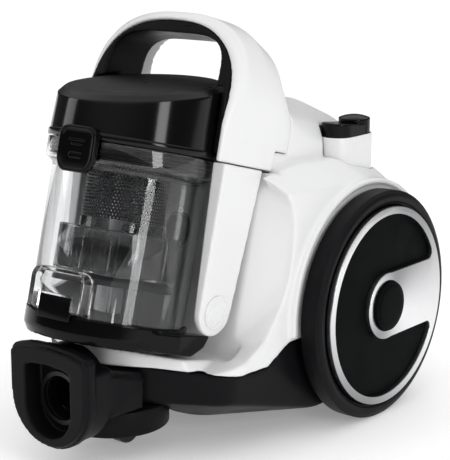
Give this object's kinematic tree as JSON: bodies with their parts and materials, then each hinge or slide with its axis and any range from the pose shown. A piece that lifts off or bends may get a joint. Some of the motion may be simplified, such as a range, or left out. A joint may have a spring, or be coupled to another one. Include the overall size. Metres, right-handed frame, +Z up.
{
  "type": "canister vacuum cleaner",
  "caption": "Bagless canister vacuum cleaner with a tilted clear cyclone bin, arched carrying handle, large rear wheels, a front caster and a D-shaped hose socket.",
  "frame": {"origin": "on the floor, under the middle of the machine", "axes": "+Z up, the hose socket faces -Y, the rear wheels turn about X"},
  "size_m": [0.284, 0.38, 0.3545],
  "materials": {
    "white_gloss": "smooth glossy white",
    "black_gloss": "glossy black",
    "black_satin": "satin black, fine grain",
    "dark_plastic": "moulded dark grey",
    "clear_plastic": "clear, slightly smoky moulding",
    "silver_trim": "satin silver with fine brushing",
    "steel": "turned steel",
    "grey_metal": "cast grey metal",
    "copper": "enamelled copper windings",
    "tyre_rubber": "soft matte black tread",
    "seal_rubber": "matte black rubber",
    "filter_paper": "pleated off-white filter cloth",
    "mesh_metal": "perforated dark grey metal",
    "board_green": "green circuit board"
  },
  "bodies": {
    "main": {"upper_housing": "white_gloss", "lower_chassis": "black_satin", "hose_socket": "black_satin", "socket_seal": "seal_rubber", "intake_duct": "dark_plastic", "motor_housing": "grey_metal", "motor_stator": "copper", "motor_mounts": "seal_rubber", "reel_frame": "dark_plastic", "reel_axle": "steel", "reel_spring_case": "dark_plastic", "cord_outlet": "black_satin", "circuit_board": "board_green", "power_switch": "black_satin", "button_pedestal": "white_gloss", "power_button_spring": "steel", "rewind_button_spring": "steel", "exhaust_filter": "filter_paper", "exhaust_grille": "black_satin", "axle_brackets": "dark_plastic", "wheel_axles": "steel", "caster_housing": "black_satin", "chassis_screws": "steel"},
    "wheel_left": {"tyre_left": "tyre_rubber", "wheel_core_left": "black_gloss", "wheel_trim_left": "silver_trim", "hub_cap_left": "black_gloss"},
    "wheel_right": {"tyre_right": "tyre_rubber", "wheel_core_right": "black_gloss", "wheel_trim_right": "silver_trim", "hub_cap_right": "black_gloss"},
    "caster_swivel": {"caster_fork": "dark_plastic", "caster_axle": "steel"},
    "caster_roller": {"caster_wheel": "dark_plastic"},
    "rotor": {"motor_shaft": "steel", "motor_rotor": "grey_metal", "fan_impeller": "grey_metal"},
    "reel": {"cord_reel_drum": "dark_plastic"},
    "power_key": {"power_button": "black_gloss"},
    "rewind_key": {"rewind_button": "black_gloss"},
    "bin": {"bin_body": "clear_plastic", "bin_base": "black_gloss", "base_flap": "black_gloss", "flap_seal": "seal_rubber", "flap_hinge_pin": "steel", "latch_housing": "clear_plastic", "strap_left": "white_gloss", "strap_right": "white_gloss", "pivot_covers": "white_gloss", "cyclone_tube": "clear_plastic", "cyclone_skirt": "dark_plastic", "mesh_screen": "mesh_metal"},
    "flap_catch": {"flap_latch": "black_gloss"},
    "lid_unit": {"lid": "black_gloss", "collar_seal": "seal_rubber", "filter_frame": "dark_plastic", "filter_cartridge": "filter_paper", "handle_shell_arch": "white_gloss", "handle_grip": "black_satin"},
    "lid_catch": {"filter_button": "black_gloss"}
  },
  "joints": [
    {"name": "wheel_left_spin", "type": "hinge", "parent": "main", "child": "wheel_left", "pos_m": [0, 0.0895, 0.1005], "axis": [1, 0, 0], "continuous": true},
    {"name": "wheel_right_spin", "type": "hinge", "parent": "main", "child": "wheel_right", "pos_m": [0, 0.0895, 0.1005], "axis": [1, 0, 0], "continuous": true},
    {"name": "caster_turn", "type": "hinge", "parent": "main", "child": "caster_swivel", "pos_m": [0, -0.113, 0.04], "axis": [0, 0, 1], "continuous": true},
    {"name": "caster_roll", "type": "hinge", "parent": "caster_swivel", "child": "caster_roller", "pos_m": [0, -0.1, 0.014], "axis": [1, 0, 0], "continuous": true},
    {"name": "motor_spin", "type": "hinge", "parent": "main", "child": "rotor", "pos_m": [0, 0.1, 0.174], "axis": [0, 1, 0], "continuous": true},
    {"name": "reel_spin", "type": "hinge", "parent": "main", "child": "reel", "pos_m": [0, 0.112, 0.071], "axis": [1, 0, 0], "continuous": true},
    {"name": "power_press", "type": "slide", "parent": "main", "child": "power_key", "axis": [0, 0, -1], "range_m": [0, 0.003], "stiffness_N_per_m": 400, "springref_m": -0.002, "deforming": ["power_button_spring"]},
    {"name": "rewind_press", "type": "slide", "parent": "main", "child": "rewind_key", "axis": [0, 0, -1], "range_m": [0, 0.003], "stiffness_N_per_m": 400, "springref_m": -0.002, "deforming": ["rewind_button_spring"]},
    {"name": "bin_lift", "type": "slide", "parent": "main", "child": "bin", "axis": [0, 0.2588, 0.9659], "range_m": [0, 0.12]},
    {"name": "lid_lift", "type": "slide", "parent": "bin", "child": "lid_unit", "axis": [0, 0.2588, 0.9659], "range_m": [0, 0.07]},
    {"name": "flap_catch_press", "type": "slide", "parent": "bin", "child": "flap_catch", "axis": [-0.0872, 0.9623, -0.2578], "range_m": [0, 0.002], "stiffness_N_per_m": 300, "springref_m": -0.002},
    {"name": "lid_catch_press", "type": "slide", "parent": "lid_unit", "child": "lid_catch", "axis": [-0.0872, 0.9623, -0.2578], "range_m": [0, 0.001], "stiffness_N_per_m": 400, "springref_m": -0.002}
  ]
}
